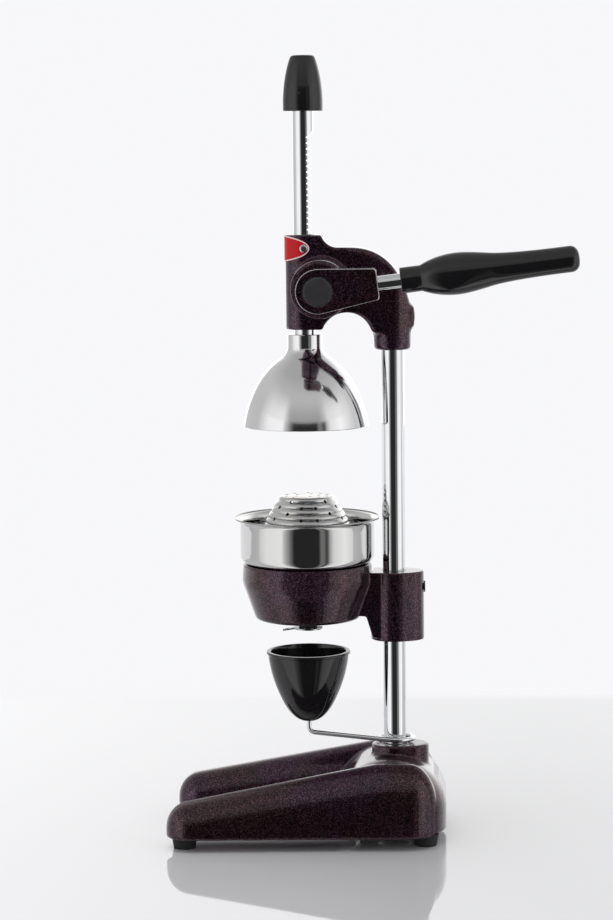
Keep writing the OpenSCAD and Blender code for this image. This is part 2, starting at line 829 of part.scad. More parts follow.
module name_plate() {
    inner = tube_r + fit;
    outer = inner + plate_t;
    bent = [for (i = [0:12]) let (a = 90 * i / 12) [-outer * cos(a), plate_edge(plate_quarter * a / 90)]];
    flat = [for (i = [1:6]) let (y = plate_tail * sin(15 * i)) [y, plate_edge(plate_quarter + y)]];
    upper = concat(bent, flat);
    lower = [for (i = [len(upper) - 2:-1:0]) [upper[i][0], -upper[i][1]]];
    color("#c01f26") difference() {
        intersection() {
            translate([0, 0, plate_z - plate_h / 2 - cut]) linear_extrude(plate_h + 2 * cut) difference() {
                plate_plan(outer);
                plate_plan(inner);
            }
            translate([2 * outer, 0, plate_z]) side_plate(4 * outer)
                polygon(concat([[-2 * outer, plate_h / 2]], upper, lower, [[-2 * outer, -plate_h / 2]]));
        }
        for (sx = [-1, 1]) translate([sx * tube_r, rivet_y, plate_z]) rotate([0, 90, 0])
            cylinder(r = rivet_pin_r + fit, h = 8, center = true);
    }
}

module plate_rivets() {
    seat = tube_r + fit + plate_t;
    color("#9a9c9e") for (side = [0, 1]) mirror([side, 0, 0]) translate([seat, rivet_y, plate_z])
        rotate([0, 90, 0]) {
        rotate_extrude() polygon([[0, 0], [rivet_r, 0], [rivet_r, 0.5], [rivet_r - 1.2, 1.1], [0, 1.3]]);
        translate([0, 0, -4]) cylinder(r = rivet_pin_r, h = 4.2);
    }
}

// ---- Press rod ----

// One space between two rack teeth, cut from the +Y side, in Y and Z
module rack_space() {
    slope = tan(pressure);
    half_at_roll = pitch / 4 + shift * slope;
    half_root = half_at_roll - (roll_y - rack_root_y) * slope;
    half_tip = half_at_roll + (rack_tip_y + cut - roll_y) * slope;
    polygon([
        [rack_root_y, -half_root], [rack_tip_y + cut, -half_tip],
        [rack_tip_y + cut, half_tip], [rack_root_y, half_root]
    ]);
}

module rack_rod() {
    color("#d8dadc") difference() {
        translate([0, 0, rod_z]) cylinder(r = rod_r, h = rod_top - rod_z);
        translate([rod_r + cut, 0, 0]) side_plate(2 * (rod_r + cut)) {
            polygon([
                [rack_tip_y, rack_low], [rack_tip_y, rack_high], [rod_r + cut, rack_high + rack_run_out],
                [rod_r + cut, rack_low]
            ]);
            for (k = [-gaps_below:gaps_above]) translate([0, pinion_z + k * pitch]) rack_space();
        }
        translate([0, 0, rod_z - cut]) cylinder(r = cone_screw_r + fit, h = cone_screw_grip + 2 + cut);
    }
}

module rod_knob() {
    color("#0e0e0f") translate([0, 0, knob_z]) difference() {
        rotate_extrude() polygon(concat(
            [[0, 0], [knob_r - 0.6, 0], [knob_r, 0.8]],
            curve([knob_r, 10], [knob_r - 0.8, knob_h * 0.64], [knob_top_r, knob_h - 2.2]),
            [[knob_top_r - 2.2, knob_h], [0, knob_h]]
        ));
        translate([0, 0, -cut]) cylinder(r = rod_r + fit, h = knob_socket + cut);
    }
}

// Profile of the bell from its rim to the foot of the neck
function bell_outer() = concat(
    curve([cone_r, 0], [cone_r - 3.8, 25], waist),
    curve(waist, [cone_r - 22.3, bell_h - 8.4], crown),
    curve(crown, [neck_r + 0.7, bell_h + 4.3], [neck_r, bell_h + 10], 6)
);

// Profile of the inside, from the screw's seat down to the rim
function bell_inner() = concat(
    [[0, seat_h], [cone_flange_r + gap, seat_h]],
    curve(crown_in, [cone_r - 25.3, bell_h - 10.8], waist_in),
    curve(waist_in, [cone_r - 3.8 - cone_wall, 24], [cone_r - cone_wall, 0])
);

module press_cone() {
    top = bell_h + neck_h;
    color("#d5d7d9") translate([0, 0, rim_z]) difference() {
        rotate_extrude() polygon(concat(
            bell_outer(),
            [[neck_r, top - 0.6], [neck_r - 0.6, top], [0, top]],
            bell_inner()
        ));
        translate([0, 0, top - cone_socket]) cylinder(r = rod_r + fit, h = cone_socket + cut);
        cylinder(r = cone_screw_r + gap, h = top);
    }
}

module cone_screw() {
    color("#a9abad") {
        translate([0, 0, cone_seat - 6]) cylinder(r = 8, h = 5.1, $fn = 6);
        translate([0, 0, cone_seat - 1]) cylinder(r = cone_flange_r, h = 1);
        translate([0, 0, cone_seat - cut])
            cylinder(r = cone_screw_r, h = rod_z + cone_screw_grip - cone_seat + cut);
    }
}

// ---- Pinion and lever ----

// The pinion's outline, with one tooth along -X
module pinion_outline() {
    half = 360 / pinion_teeth / 4 + (shift * tan(pressure) - backlash / 4) / pitch_r * 180 / PI;
    roll_max = sqrt(pow(tip_r / base_r, 2) - 1) * 180 / PI;
    pitch_angle = tan(pressure) * 180 / PI - pressure;
    flank = [for (i = [0:6]) involute(base_r, roll_max * i / 6)];
    union() {
        circle(r = root_gear_r);
        for (k = [0:pinion_teeth - 1]) rotate(180 + 360 * k / pinion_teeth) polygon(concat(
            [[0, 0], [root_gear_r * cos(half + pitch_angle), -root_gear_r * sin(half + pitch_angle)]],
            [for (p = flank) let (a = -(half + pitch_angle) + p[1]) p[0] * [cos(a), sin(a)]],
            [for (i = [6:-1:0]) let (p = flank[i], a = half + pitch_angle - p[1]) p[0] * [cos(a), sin(a)]],
            [[root_gear_r * cos(half + pitch_angle), root_gear_r * sin(half + pitch_angle)]]
        ));
    }
}

module pinion_shaft() {
    color("#8f9194") difference() {
        union() {
            translate([-pinion_side, pinion_back, pinion_z]) rotate([90, 0, 90])
                linear_extrude(pinion_w) pinion_outline();
            on_shaft(shaft_r, ring_x - ring_t - 3, shaft_end);
        }
        difference() {
            on_shaft(shaft_r + cut, ring_x - ring_t - fit, ring_x + fit);
            on_shaft(shaft_r - ring_groove, ring_x - ring_t - cut, ring_x + cut);
        }
        on_shaft(lever_bolt_r + fit, shaft_end - 16, shaft_end + cut);
        at_lever() translate([shaft_end - key_len - 2, -key_w / 2 - fit, shaft_r - 2])
            cube([key_len + 2 + cut, key_w + 2 * fit, 3]);
    }
}

module lever_key() {
    color("#77797c") at_lever() translate([shaft_end - key_len - 1, -key_w / 2, shaft_r - 2])
        cube([key_len, key_w, 3.6]);
}

module arm_outline() {
    slant = atan((arm_r - arm_end_h / 2) / arm_len);
    circle(r = arm_r);
    polygon([
        [arm_r * sin(slant), -arm_r * cos(slant)], [arm_len - 1.5, -arm_end_h / 2],
        [arm_len, -arm_end_h / 2 + 1.5], [arm_len, arm_end_h / 2 - 1.5], [arm_len - 1.5, arm_end_h / 2],
        [arm_r * sin(slant), arm_r * cos(slant)]
    ]);
}

module lever_arm() {
    color("#33232e") at_lever() difference() {
        union() {
            translate([arm_x, 0, 0]) rotate([90, 0, 90]) linear_extrude(arm_t) arm_outline();
            translate([barrel_face + gap, 0, 0]) rotate([0, 90, 0])
                cylinder(r = hub_r, h = arm_x - barrel_face - gap + cut);
        }
        translate([0, 0, 0]) rotate([0, 90, 0]) cylinder(r = shaft_r + fit, h = arm_face);
        translate([cap_floor, 0, 0]) rotate([0, 90, 0]) cylinder(r = cap_r + fit, h = cap_deep + cut);
        translate([shaft_end - key_len - 1 - gap, -key_w / 2 - fit, 0])
            cube([key_len + 2 * cut + gap, key_w + 2 * fit, shaft_r + 1.6 + fit]);
        translate([lever_x, rod_start - gap, 0]) rotate([-90, 0, 0])
            cylinder(r = lever_rod_r + fit, h = arm_len);
    }
}

module lever_washer() {
    color("silver") at_lever() translate([cap_floor, 0, 0]) rotate([0, 90, 0]) difference() {
        cylinder(r = 10, h = lever_washer_t);
        translate([0, 0, -cut]) cylinder(r = lever_bolt_r + 0.2, h = lever_washer_t + 2 * cut);
    }
}

module lever_bolt() {
    color("silver") at_lever() rotate([0, 90, 0]) difference() {
        union() {
            translate([0, 0, cap_floor + lever_washer_t]) cylinder(r = 5.5, h = lever_bolt_head);
            translate([0, 0, shaft_end - 14]) cylinder(r = lever_bolt_r, h = 14 + gap + lever_washer_t + 1);
        }
        translate([0, 0, cap_floor + lever_washer_t + 1.2]) cylinder(r = 2.9, h = 4, $fn = 6);
    }
}

module lever_cap() {
    inside = cap_floor + lever_washer_t + lever_bolt_head + gap;
    color("#232325") at_lever() rotate([0, 90, 0]) translate([0, 0, cap_floor]) difference() {
        rotate_extrude() polygon([
            [0, 0], [cap_r, 0], [cap_r, cap_deep], [cap_r - 0.9, cap_deep + cap_out], [0, cap_deep + cap_out]
        ]);
        translate([0, 0, -cut]) cylinder(r = cap_r - 2, h = inside - cap_floor + cut);
    }
}

module lever_rod() {
    color("#d8dadc") at_lever() translate([lever_x, rod_start, 0]) rotate([-90, 0, 0])
        cylinder(r = lever_rod_r, h = grip_start - rod_start + rod_in_grip);
}

module lever_grip() {
    collar_len = 18.5;
    belly = 50;
    taper = 79.6;
    waist = 122;
    taper_r = grip_r - 4;
    end_r = 8;
    color("#0e0e0f") at_lever() translate([lever_x, grip_start, 0]) rotate([-90, 0, 0]) difference() {
        rotate_extrude() polygon(concat(
            [[0, 0], [collar_r - 0.8, 0], [collar_r, 0.8], [collar_r, collar_len]],
            curve([collar_r, collar_len], [grip_r - 1, belly - 17], [grip_r, belly]),
            curve([grip_r, belly], [grip_r, belly + 12], [taper_r, taper]),
            curve([taper_r, taper], [grip_end_r + 0.5, taper + 12.4], [grip_end_r, waist], 8),
            arc([grip_end_r - end_r, grip_len - end_r], end_r, 0, 90, 8),
            [[0, grip_len]]
        ));
        translate([0, 0, -cut]) cylinder(r = lever_rod_r + fit, h = rod_in_grip + 2 + cut);
    }
}

// ---- Drip cup ----

// The wire: down out of the cup, back to the post and once round it
function wire_path() = let (
    stem_top = cup_z + wire_socket - 0.5,
    run = [sin(tangent_angle), cos(tangent_angle), 0],
    start = [0, 0, wire_z + bend_r],
    bend = [for (i = [0:6]) let (a = 90 * i / 6)
        start + bend_r * (1 - cos(a)) * run - [0, 0, bend_r * sin(a)]],
    first = bend[6]
) concat(
    [[0, 0, stem_top], [0, 0, (stem_top + start[2]) / 2]],
    bend,
    [for (s = [0.3, 0.7]) wire_run(first, s)],
    [for (i = [0:30]) let (a = -tangent_angle + (eye_end + tangent_angle) * i / 30)
        [eye_r * cos(a), reach + eye_r * sin(a), eye_z + eye_drop * (1 - i / 30)]]
);

// A point part of the way from the bend to the eye
function wire_run(first, s) = let (
    eye_start = [eye_r * cos(tangent_angle), reach - eye_r * sin(tangent_angle), eye_z + eye_drop]
) first + (eye_start - first) * s;

module drip_arm() {
    color("#c4c6c8") swept_tube(wire_path(), wire_r);
}

module cup_outline(inset) {
    polygon(concat(
        [[0, inset == 0 ? 0 : cup_floor_t]],
        curve([inset == 0 ? 0 : 8, inset == 0 ? 0 : cup_floor_t],
              [cup_r * 0.42 - inset * 0.6, inset == 0 ? 1 : cup_floor_t + 1],
              [cup_r * 0.68 - inset * 0.85, cup_h * 0.36], 8),
        curve([cup_r * 0.68 - inset * 0.85, cup_h * 0.36], [cup_r * 0.89 - inset, cup_h * 0.62],
              [cup_r - 1.7 - inset, cup_h - 6], 6),
        [[cup_r - 1.6 - inset, cup_h - 3], [cup_r - inset, cup_h - 2.2], [cup_r - inset, cup_h - 0.6],
         [cup_r - 0.6 - inset, cup_h]],
        [[0, cup_h]]
    ));
}

module drip_cup() {
    color("#0e0e0f") translate([0, 0, cup_z]) difference() {
        rotate_extrude() cup_outline(0);
        rotate_extrude() union() {
            cup_outline(cup_wall);
            translate([0, cup_h - 0.1]) square([cup_r - cup_wall - 0.6, 1]);
        }
        translate([0, 0, -cut]) cylinder(r = wire_r + fit, h = wire_socket + cut);
    }
}

base_casting();
rubber_feet();
foot_screws();
post();
post_bolt();
post_washer();
holder_casting();
holder_screw();
juice_bowl();
strainer();
spout_seal();
spout_clip();
head_casting();
head_screw();
shaft_bush();
shaft_ring();
name_plate();
plate_rivets();
rack_rod();
rod_knob();
press_cone();
cone_screw();
pinion_shaft();
lever_key();
lever_arm();
lever_washer();
lever_bolt();
lever_cap();
lever_rod();
lever_grip();
drip_arm();
drip_cup();
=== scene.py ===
"""Looks of a hand-lever citrus press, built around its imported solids. Metres, Z up."""

import json
import math

import bpy
from mathutils import Euler, Matrix, Vector


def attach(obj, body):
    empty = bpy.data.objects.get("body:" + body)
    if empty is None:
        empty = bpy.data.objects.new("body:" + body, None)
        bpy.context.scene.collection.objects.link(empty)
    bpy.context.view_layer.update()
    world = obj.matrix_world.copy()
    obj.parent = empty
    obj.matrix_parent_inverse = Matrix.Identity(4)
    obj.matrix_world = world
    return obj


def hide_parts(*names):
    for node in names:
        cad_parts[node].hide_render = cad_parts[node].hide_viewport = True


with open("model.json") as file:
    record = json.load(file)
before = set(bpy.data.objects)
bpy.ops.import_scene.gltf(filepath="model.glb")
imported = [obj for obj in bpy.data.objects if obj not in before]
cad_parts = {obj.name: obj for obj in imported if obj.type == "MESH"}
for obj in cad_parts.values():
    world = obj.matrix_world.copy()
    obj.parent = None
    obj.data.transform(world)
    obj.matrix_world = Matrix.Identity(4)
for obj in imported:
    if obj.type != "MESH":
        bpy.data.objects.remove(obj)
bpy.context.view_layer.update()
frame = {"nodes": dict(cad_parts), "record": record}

MM = 0.001
TAU = 2 * math.pi

# Places that the pieces share, in metres
POST_Y = 0.0795
POST_R = 0.01055
PINION = Vector((0, 0.0162, 0.5060))
BARREL_R = 0.0265
BARREL_FACE_X = 0.065
ROD_BORE_R = 0.00955
SHAFT_BORE_R = 0.01333
HEAD_ARM_Y = 0.036
LEVER_TILT = math.radians(6.8)
LEVER_X = 0.092
LEVER_ARM_X = 0.079
LEVER_CAP_X = 0.098
KNOB_Z = 0.6643
RIM_Z = 0.3789
BOWL_TOP = 0.2953
BOWL_R = 0.0615
STRAINER_TOP = 0.3147
STRAINER_TOP_R = 0.0244
CUP_Z = 0.1045
BOSS_TOP = 0.084
PLATE_Z = 0.5410
PLATE_HALF_H = 0.0121
PLATE_R = 0.0174
PLATE_REACH = PLATE_R * TAU / 4 + 0.0056


# ---- Shader tools ----


class Wire:
    """An output socket, with arithmetic that adds Math nodes."""

    def __init__(self, finish, socket):
        self.finish = finish
        self.socket = socket

    def maths(self, operation, *values):
        return self.finish.add("ShaderNodeMath", {"operation": operation}, *values)

    def __add__(self, other):
        return self.maths("ADD", self, other)

    __radd__ = __add__

    def __sub__(self, other):
        return self.maths("SUBTRACT", self, other)

    def __rsub__(self, other):
        return self.maths("SUBTRACT", other, self)

    def __mul__(self, other):
        return self.maths("MULTIPLY", self, other)

    __rmul__ = __mul__

    def __truediv__(self, other):
        return self.maths("DIVIDE", self, other)

    def __rtruediv__(self, other):
        return self.maths("DIVIDE", other, self)

    def __pow__(self, other):
        return self.maths("POWER", self, other)

    def __abs__(self):
        return self.maths("ABSOLUTE", self)

    def most(self, other):
        return self.maths("MAXIMUM", self, other)

    def step(self, low, high):
        """0 under low and 1 over high, with a soft change between. Low may be the larger."""
        return self.finish.add(
            "ShaderNodeMapRange",
            {"interpolation_type": "SMOOTHSTEP"},
            self,
            low,
            high,
            0.0,
            1.0,
        )


class Finish:
    """A material made of one principled shader, with the nodes that vary it."""

    def __init__(self, name, colour, metal, rough, **constants):
        self.material = bpy.data.materials.new(name)
        self.material.use_nodes = True
        self.tree = self.material.node_tree
        self.shader = self.tree.nodes["Principled BSDF"]
        self.plug("Base Color", (*colour, 1))
        self.plug("Metallic", metal)
        self.plug("Roughness", rough)
        for socket, value in constants.items():
            self.plug(socket.replace("_", " ").title().replace("Ior", "IOR"), value)
        self.place = self.add("ShaderNodeTexCoord", output="Object")

    def add(self, kind, settings=None, *values, output=0, **named):
        node = self.tree.nodes.new(kind)
        for key, value in (settings or {}).items():
            setattr(node, key, value)
        for key, value in [*enumerate(values), *named.items()]:
            self.join(node.inputs[key], value)
        return Wire(self, node.outputs[output])

    def join(self, socket, value):
        if isinstance(value, Wire):
            self.tree.links.new(value.socket, socket)
        elif value is not None:
            socket.default_value = value

    def plug(self, socket, value):
        self.join(self.shader.inputs[socket], value)

    def maths(self, operation, *values):
        return self.add("ShaderNodeMath", {"operation": operation}, *values)

    def xyz(self, vector=None):
        node = self.tree.nodes.new("ShaderNodeSeparateXYZ")
        self.join(node.inputs[0], vector or self.place)
        return [Wire(self, output) for output in node.outputs]

    def stretched(self, scale):
        """The place on the piece with each axis scaled"""
        return self.add("ShaderNodeMapping", None, self.place, Scale=scale)

    def noise(self, scale, detail=2.0, rough=0.5, at=None):
        return self.add(
            "ShaderNodeTexNoise",
            None,
            Vector=at or self.place,
            Scale=scale,
            Detail=detail,
            Roughness=rough,
        )

    def cells(self, scale, smooth):
        return self.add(
            "ShaderNodeTexVoronoi",
            {"feature": "SMOOTH_F1"},
            Vector=self.place,
            Scale=scale,
            Smoothness=smooth,
        )

    def rings(self, along, scale, detail=3.0):
        """Noise that changes along one value alone, as lathe and brush lines do"""
        return self.add(
            "ShaderNodeTexNoise",
            {"noise_dimensions": "1D"},
            W=along,
            Scale=scale,
            Detail=detail,
            Roughness=0.65,
        )

    def ramp(self, place, stops, top=1.6):
        """A level read off straight lines between stops of place and level"""
        node = self.tree.nodes.new("ShaderNodeValToRGB")
        low, high = stops[0][0], stops[-1][0]
        elements = node.color_ramp.elements
        while len(elements) < len(stops):
            elements.new(0.5)
        for element, (at, level) in zip(elements, stops):
            element.position = (at - low) / (high - low)
            element.color = (*[level / top] * 3, 1)
        self.join(node.inputs[0], (place - low) * (1 / (high - low)))
        return Wire(self, node.outputs[0]) * top

    def mix(self, mask, first, second):
        node = self.tree.nodes.new("ShaderNodeMix")
        node.data_type = "RGBA"
        for key, value in ((0, mask), (6, first), (7, second)):
            if isinstance(value, tuple) and len(value) == 3:
                value = (*value, 1)
            self.join(node.inputs[key], value)
        return Wire(self, node.outputs[2])

    def bump(self, height, distance, strength):
        return self.add("ShaderNodeBump", None, Height=height, Distance=distance, Strength=strength)

    def corners(self):
        """High on outer corners and low in hollows"""
        return self.add("ShaderNodeNewGeometry", output="Pointiness")


# ---- Finishes ----


def hammertone_enamel():
    """Dark aubergine under a clear coat, with fine reddish flakes that catch the light, duller
    on the end of the barrel, and pale bright metal along the rims of the lever arm: partly wear, partly a
    painted highlight"""
    f = Finish("hammertone_enamel", (0.04, 0.02, 0.03), 0.8, 0.34, coat_roughness=0.05, coat_ior=1.34)
    x, _, z = f.xyz()
    flakes = f.cells(980, 0.4)
    grain = f.noise(1300, 2, 0.6)
    pools = f.noise(260, 3)
    drift = f.noise(14, 2)
    tone = (flakes * 1.2 + grain * 0.9 + pools * 0.4).step(1.0, 1.75)
    flake = f.mix(drift.step(0.42, 0.58), (0.142, 0.059, 0.110), (0.134, 0.057, 0.073))
    colour = f.mix(tone, (0.0012, 0.0005, 0.0010), flake)
    on_arm = x.step(LEVER_ARM_X - 0.001, LEVER_ARM_X + 0.001) * z.step(0.30, 0.31)
    past_face = x.step(BARREL_FACE_X + 0.0012, BARREL_FACE_X + 0.0018)
    high = z.step(PINION.z + 0.012, PINION.z + 0.020)
    barrel = x.step(BARREL_FACE_X - 0.010, BARREL_FACE_X - 0.008) * (1.0 - past_face) * (1.0 - high)
    # Wear and painted highlight: the lever arm's rims are painted pale metal, for worn paint and for the
    # bright lines their edges catch
    rim_wear_and_highlight = f.corners().step(0.525, 0.565) * on_arm * (pools * 0.5 + 0.75)
    f.plug("Base Color", f.mix(rim_wear_and_highlight, colour, (0.90, 0.88, 0.88)))
    f.plug("Roughness", 0.24 + grain * 0.12 + rim_wear_and_highlight * 0.2 + barrel * 0.25)
    f.plug("Coat Weight", (0.92 + pools * 0.08) * (1.0 - rim_wear_and_highlight) * (1.0 - barrel * 0.85))
    f.plug("Normal", f.bump(flakes * 0.6 + pools * 0.7, 0.15 * MM, 0.4))
    return f.material


def chrome_plate():
    f = Finish("chrome_plate", (0.80, 0.81, 0.82), 1.0, 0.05)
    film = f.noise(22, 4, 0.6)
    wiped = f.noise(300, 3, at=f.stretched((1, 1, 0.05)))
    f.plug("Roughness", 0.035 + film.step(0.5, 0.8) * 0.05 + wiped * 0.02)
    f.plug("Base Color", f.mix(film.step(0.45, 0.75), (0.82, 0.83, 0.84), (0.76, 0.77, 0.78)))
    f.plug("Normal", f.bump(wiped, 0.02 * MM, 0.25))
    return f.material


def radius_of(x, y, centre_y=0.0):
    shifted = y - centre_y
    return (x * x + shifted * shifted) ** 0.5


def spun_steel():
    """Mirror polished, with faint spinning lines round the bowl and a duller lip"""
    f = Finish("spun_steel", (0.66, 0.665, 0.66), 1.0, 0.07)
    x, y, z = f.xyz()
    waver = f.noise(14, 2)
    along = z + radius_of(x, y) * 0.7 + waver * 0.0006
    lines = f.rings(along, 2600)
    film = f.noise(30, 3)
    wall = f.mix(lines * 0.4 + film * 0.6, (0.62, 0.62, 0.615), (0.71, 0.71, 0.705))
    outside = radius_of(x, y).step(BOWL_R - 0.0015, BOWL_R - 0.0005)
    lip = z.step(BOWL_TOP - 0.0018, BOWL_TOP - 0.0003) * outside
    f.plug("Base Color", f.mix(lip, wall, (0.38, 0.38, 0.375)))
    f.plug("Roughness", 0.045 + lines * 0.04 + film.step(0.5, 0.8) * 0.05)
    f.plug("Normal", f.bump(lines, 0.015 * MM, 0.3))
    return f.material


def strainer_steel():
    f = Finish("strainer_steel", (0.60, 0.59, 0.58), 1.0, 0.20)
    x, y, z = f.xyz()
    lines = f.rings(z + radius_of(x, y) * 0.8 + f.noise(20, 2) * 0.0005, 2200)
    tint = f.noise(55, 4, 0.6)
    grain = f.noise(900, 2)
    colour = f.mix(lines, (0.55, 0.55, 0.545), (0.67, 0.67, 0.665))
    colour = f.mix(tint.step(0.50, 0.72) * 0.35, colour, (0.50, 0.39, 0.31))
    # Painted shade: the walls of the holes in the top are painted near black, as shade falls in them
    upward = f.xyz(f.add("ShaderNodeNewGeometry", output="Normal"))[2]
    in_top = z.step(STRAINER_TOP - 0.0015, STRAINER_TOP - 0.0013)
    in_top = in_top * radius_of(x, y).step(STRAINER_TOP_R - 0.0018, STRAINER_TOP_R - 0.0024)
    hole_walls_painted_shade = abs(upward).step(0.6, 0.3) * in_top
    f.plug("Base Color", f.mix(hole_walls_painted_shade, colour, (0.03, 0.03, 0.03)))
    f.plug("Roughness", 0.15 + lines * 0.08 + grain * 0.06)
    f.plug("Normal", f.bump(lines + grain * 0.5, 0.02 * MM, 0.5))
    return f.material


def polished_aluminium():
    f = Finish("polished_aluminium", (0.80, 0.80, 0.81), 1.0, 0.12)
    x, y, z = f.xyz()
    along = z + radius_of(x, y) * 0.5
    lines = f.rings(along + f.noise(10, 2) * 0.0008, 1500, 4.0)
    film = f.noise(26, 4, 0.6)
    f.plug("Base Color", f.mix(lines * 0.5 + film * 0.5, (0.72, 0.72, 0.73), (0.86, 0.86, 0.87)))
    f.plug("Roughness", 0.075 + lines * 0.04 + film.step(0.5, 0.8) * 0.04)
    f.plug("Normal", f.bump(lines, 0.02 * MM, 0.4))
    return f.material


def gloss_moulding():
    f = Finish("gloss_moulding", (0.010, 0.010, 0.011), 0.0, 0.10, specular_ior_level=0.55)
    peel = f.noise(120, 2)
    scuffs = f.noise(700, 3, 0.7, at=f.stretched((1, 0.25, 1)))
    film = f.noise(35, 4, 0.6)
    wear = scuffs.step(0.60, 0.74) * film.step(0.45, 0.65)
    f.plug("Base Color", f.mix(wear * 0.5, (0.009, 0.009, 0.010), (0.035, 0.034, 0.034)))
    f.plug("Roughness", 0.07 + film.step(0.5, 0.75) * 0.08 + wear * 0.18)
    f.plug("Normal", f.bump(peel, 0.05 * MM, 0.2))
    return f.material


def satin_moulding():
    f = Finish("satin_moulding", (0.028, 0.028, 0.031), 0.0, 0.36)
    grain = f.noise(1600, 2)
    film = f.noise(90, 3)
    f.plug("Base Color", f.mix(film, (0.022, 0.022, 0.025), (0.040, 0.039, 0.042)))
    f.plug("Roughness", 0.30 + grain * 0.14 + film * 0.06)
    f.plug("Normal", f.bump(grain, 0.03 * MM, 0.5))
    return f.material


def moulded_rubber():
    f = Finish("moulded_rubber", (0.018, 0.018, 0.018), 0.0, 0.62)
    grain = f.noise(1300, 3, 0.6)
    dust = f.noise(120, 4, 0.65)
    f.plug("Base Color", f.mix(dust.step(0.5, 0.8) * 0.5, (0.014, 0.014, 0.014), (0.060, 0.058, 0.056)))
    f.plug("Roughness", 0.52 + grain * 0.16 + dust * 0.10)
    f.plug("Normal", f.bump(grain, 0.06 * MM, 0.5))
    return f.material


def plated_steel():
    f = Finish("plated_steel", (0.52, 0.53, 0.54), 1.0, 0.28)
    grain = f.noise(900, 3, 0.6)
    film = f.noise(140, 3)
    f.plug("Base Color", f.mix(film, (0.44, 0.45, 0.46), (0.60, 0.61, 0.62)))
    f.plug("Roughness", 0.20 + grain * 0.16)
    f.plug("Normal", f.bump(grain, 0.03 * MM, 0.5))
    return f.material


def black_oxide():
    f = Finish("black_oxide", (0.030, 0.030, 0.032), 0.6, 0.40)
    grain = f.noise(1100, 3, 0.6)
    f.plug("Base Color", f.mix(grain, (0.022, 0.022, 0.024), (0.060, 0.058, 0.056)))
    f.plug("Roughness", 0.32 + grain * 0.18)
    f.plug("Normal", f.bump(grain, 0.03 * MM, 0.5))
    return f.material


def turned_bronze():
    f = Finish("turned_bronze", (0.50, 0.34, 0.16), 1.0, 0.30)
    x, y, z = f.xyz()
    lines = f.rings(radius_of(z, y, PINION.y) + x, 1800)
    film = f.noise(160, 3)
    f.plug("Base Color", f.mix(lines * 0.6 + film * 0.4, (0.40, 0.26, 0.12), (0.58, 0.41, 0.20)))
    f.plug("Roughness", 0.24 + lines * 0.16)
    f.plug("Normal", f.bump(lines, 0.03 * MM, 0.5))
    return f.material


def machined_steel():
    f = Finish("machined_steel", (0.42, 0.42, 0.43), 1.0, 0.26)
    x = f.xyz()[0]
    lines = f.rings(x, 1500)
    oil = f.noise(60, 3)
    f.plug("Base Color", f.mix(oil.step(0.4, 0.7), (0.44, 0.44, 0.45), (0.30, 0.28, 0.25)))
    f.plug("Roughness", 0.20 + lines * 0.14)
    f.plug("Normal", f.bump(lines, 0.03 * MM, 0.5))
    return f.material


def red_plate_enamel():
    """Red enamel with a pale line just inside the plate's pointed oval edge"""
    f = Finish("red_plate_enamel", (0.52, 0.02, 0.03), 0.0, 0.22, specular_ior_level=0.2)
    x, y, z = f.xyz()
    turn = f.maths("ARCTAN2", abs(x), (0 - y).most(0.0))
    high = abs(z - PLATE_Z)
    along = turn * PLATE_R + y.most(0.0)
    oval = (high / PLATE_HALF_H) ** 2.0 + (along / PLATE_REACH) ** 2.0
    slope = ((high * (2 / PLATE_HALF_H**2)) ** 2.0 + (along * (2 / PLATE_REACH**2)) ** 2.0) ** 0.5
    inward = (1.0 - oval) / slope
    line = inward.step(0.25 * MM, 0.35 * MM) * inward.step(1.45 * MM, 1.35 * MM)
    film = f.noise(260, 3)
    red = f.mix(film, (0.53, 0.006, 0.012), (0.58, 0.010, 0.016))
    f.plug("Base Color", f.mix(line, red, (0.80, 0.78, 0.75)))
    f.plug("Roughness", 0.18 + film * 0.08)
    f.plug("Normal", f.bump(line * -1.0 + film * 0.15, 0.08 * MM, 0.6))
    return f.material


FINISHES = {
    "casting_paint": hammertone_enamel(),
    "chrome": chrome_plate(),
    "bowl_steel": spun_steel(),
    "strainer_steel": strainer_steel(),
    "cone_aluminium": polished_aluminium(),
    "black_plastic": gloss_moulding(),
    "cap_plastic": satin_moulding(),
    "sleeve_rubber": moulded_rubber(),
    "feet_rubber": moulded_rubber(),
    "bronze": turned_bronze(),
    "plated_steel": plated_steel(),
    "dark_steel": black_oxide(),
    "shaft_steel": machined_steel(),
    "plate_paint": red_plate_enamel(),
}
SLOT_OF = {s["node"]: s["material_slot"] for s in frame["record"]["subparts"]}
BODY_OF = {n: body for body, members in frame["record"]["behaviour"]["bodies"].items() for n in members}


# ---- Modelling tools ----


def deselect():
    if bpy.context.object and bpy.context.object.mode != "OBJECT":
        bpy.ops.object.mode_set(mode="OBJECT")
    bpy.ops.object.select_all(action="DESELECT")


def take(piece):
    deselect()
    piece.select_set(True)
    bpy.context.view_layer.objects.active = piece
    return piece


def modify(piece, kind, **settings):
    modifier = piece.modifiers.new(kind.lower(), kind)
    for key, value in settings.items():
        setattr(modifier, key, value)
    take(piece)
    bpy.ops.object.modifier_apply(modifier=modifier.name)


def settle(piece, angle=35):
    """Place into the mesh, doubles merged, faces outward, smooth but for the corners"""
    take(piece)
    bpy.ops.object.transform_apply(location=True, rotation=True, scale=True)
    bpy.ops.object.mode_set(mode="EDIT")
    bpy.ops.mesh.select_all(action="SELECT")
    bpy.ops.mesh.remove_doubles(threshold=1e-6)
    bpy.ops.mesh.normals_make_consistent(inside=False)
    bpy.ops.object.mode_set(mode="OBJECT")
    bpy.ops.object.shade_smooth_by_angle(angle=math.radians(angle))


def dress(piece, node):
    """The piece stands for a CAD node, rides where the node does and takes its finish"""
    slot = SLOT_OF[node]
    piece.data.materials.clear()
    piece.data.materials.append(FINISHES[slot])
    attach(piece, BODY_OF[node])
    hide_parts(node)
    return piece


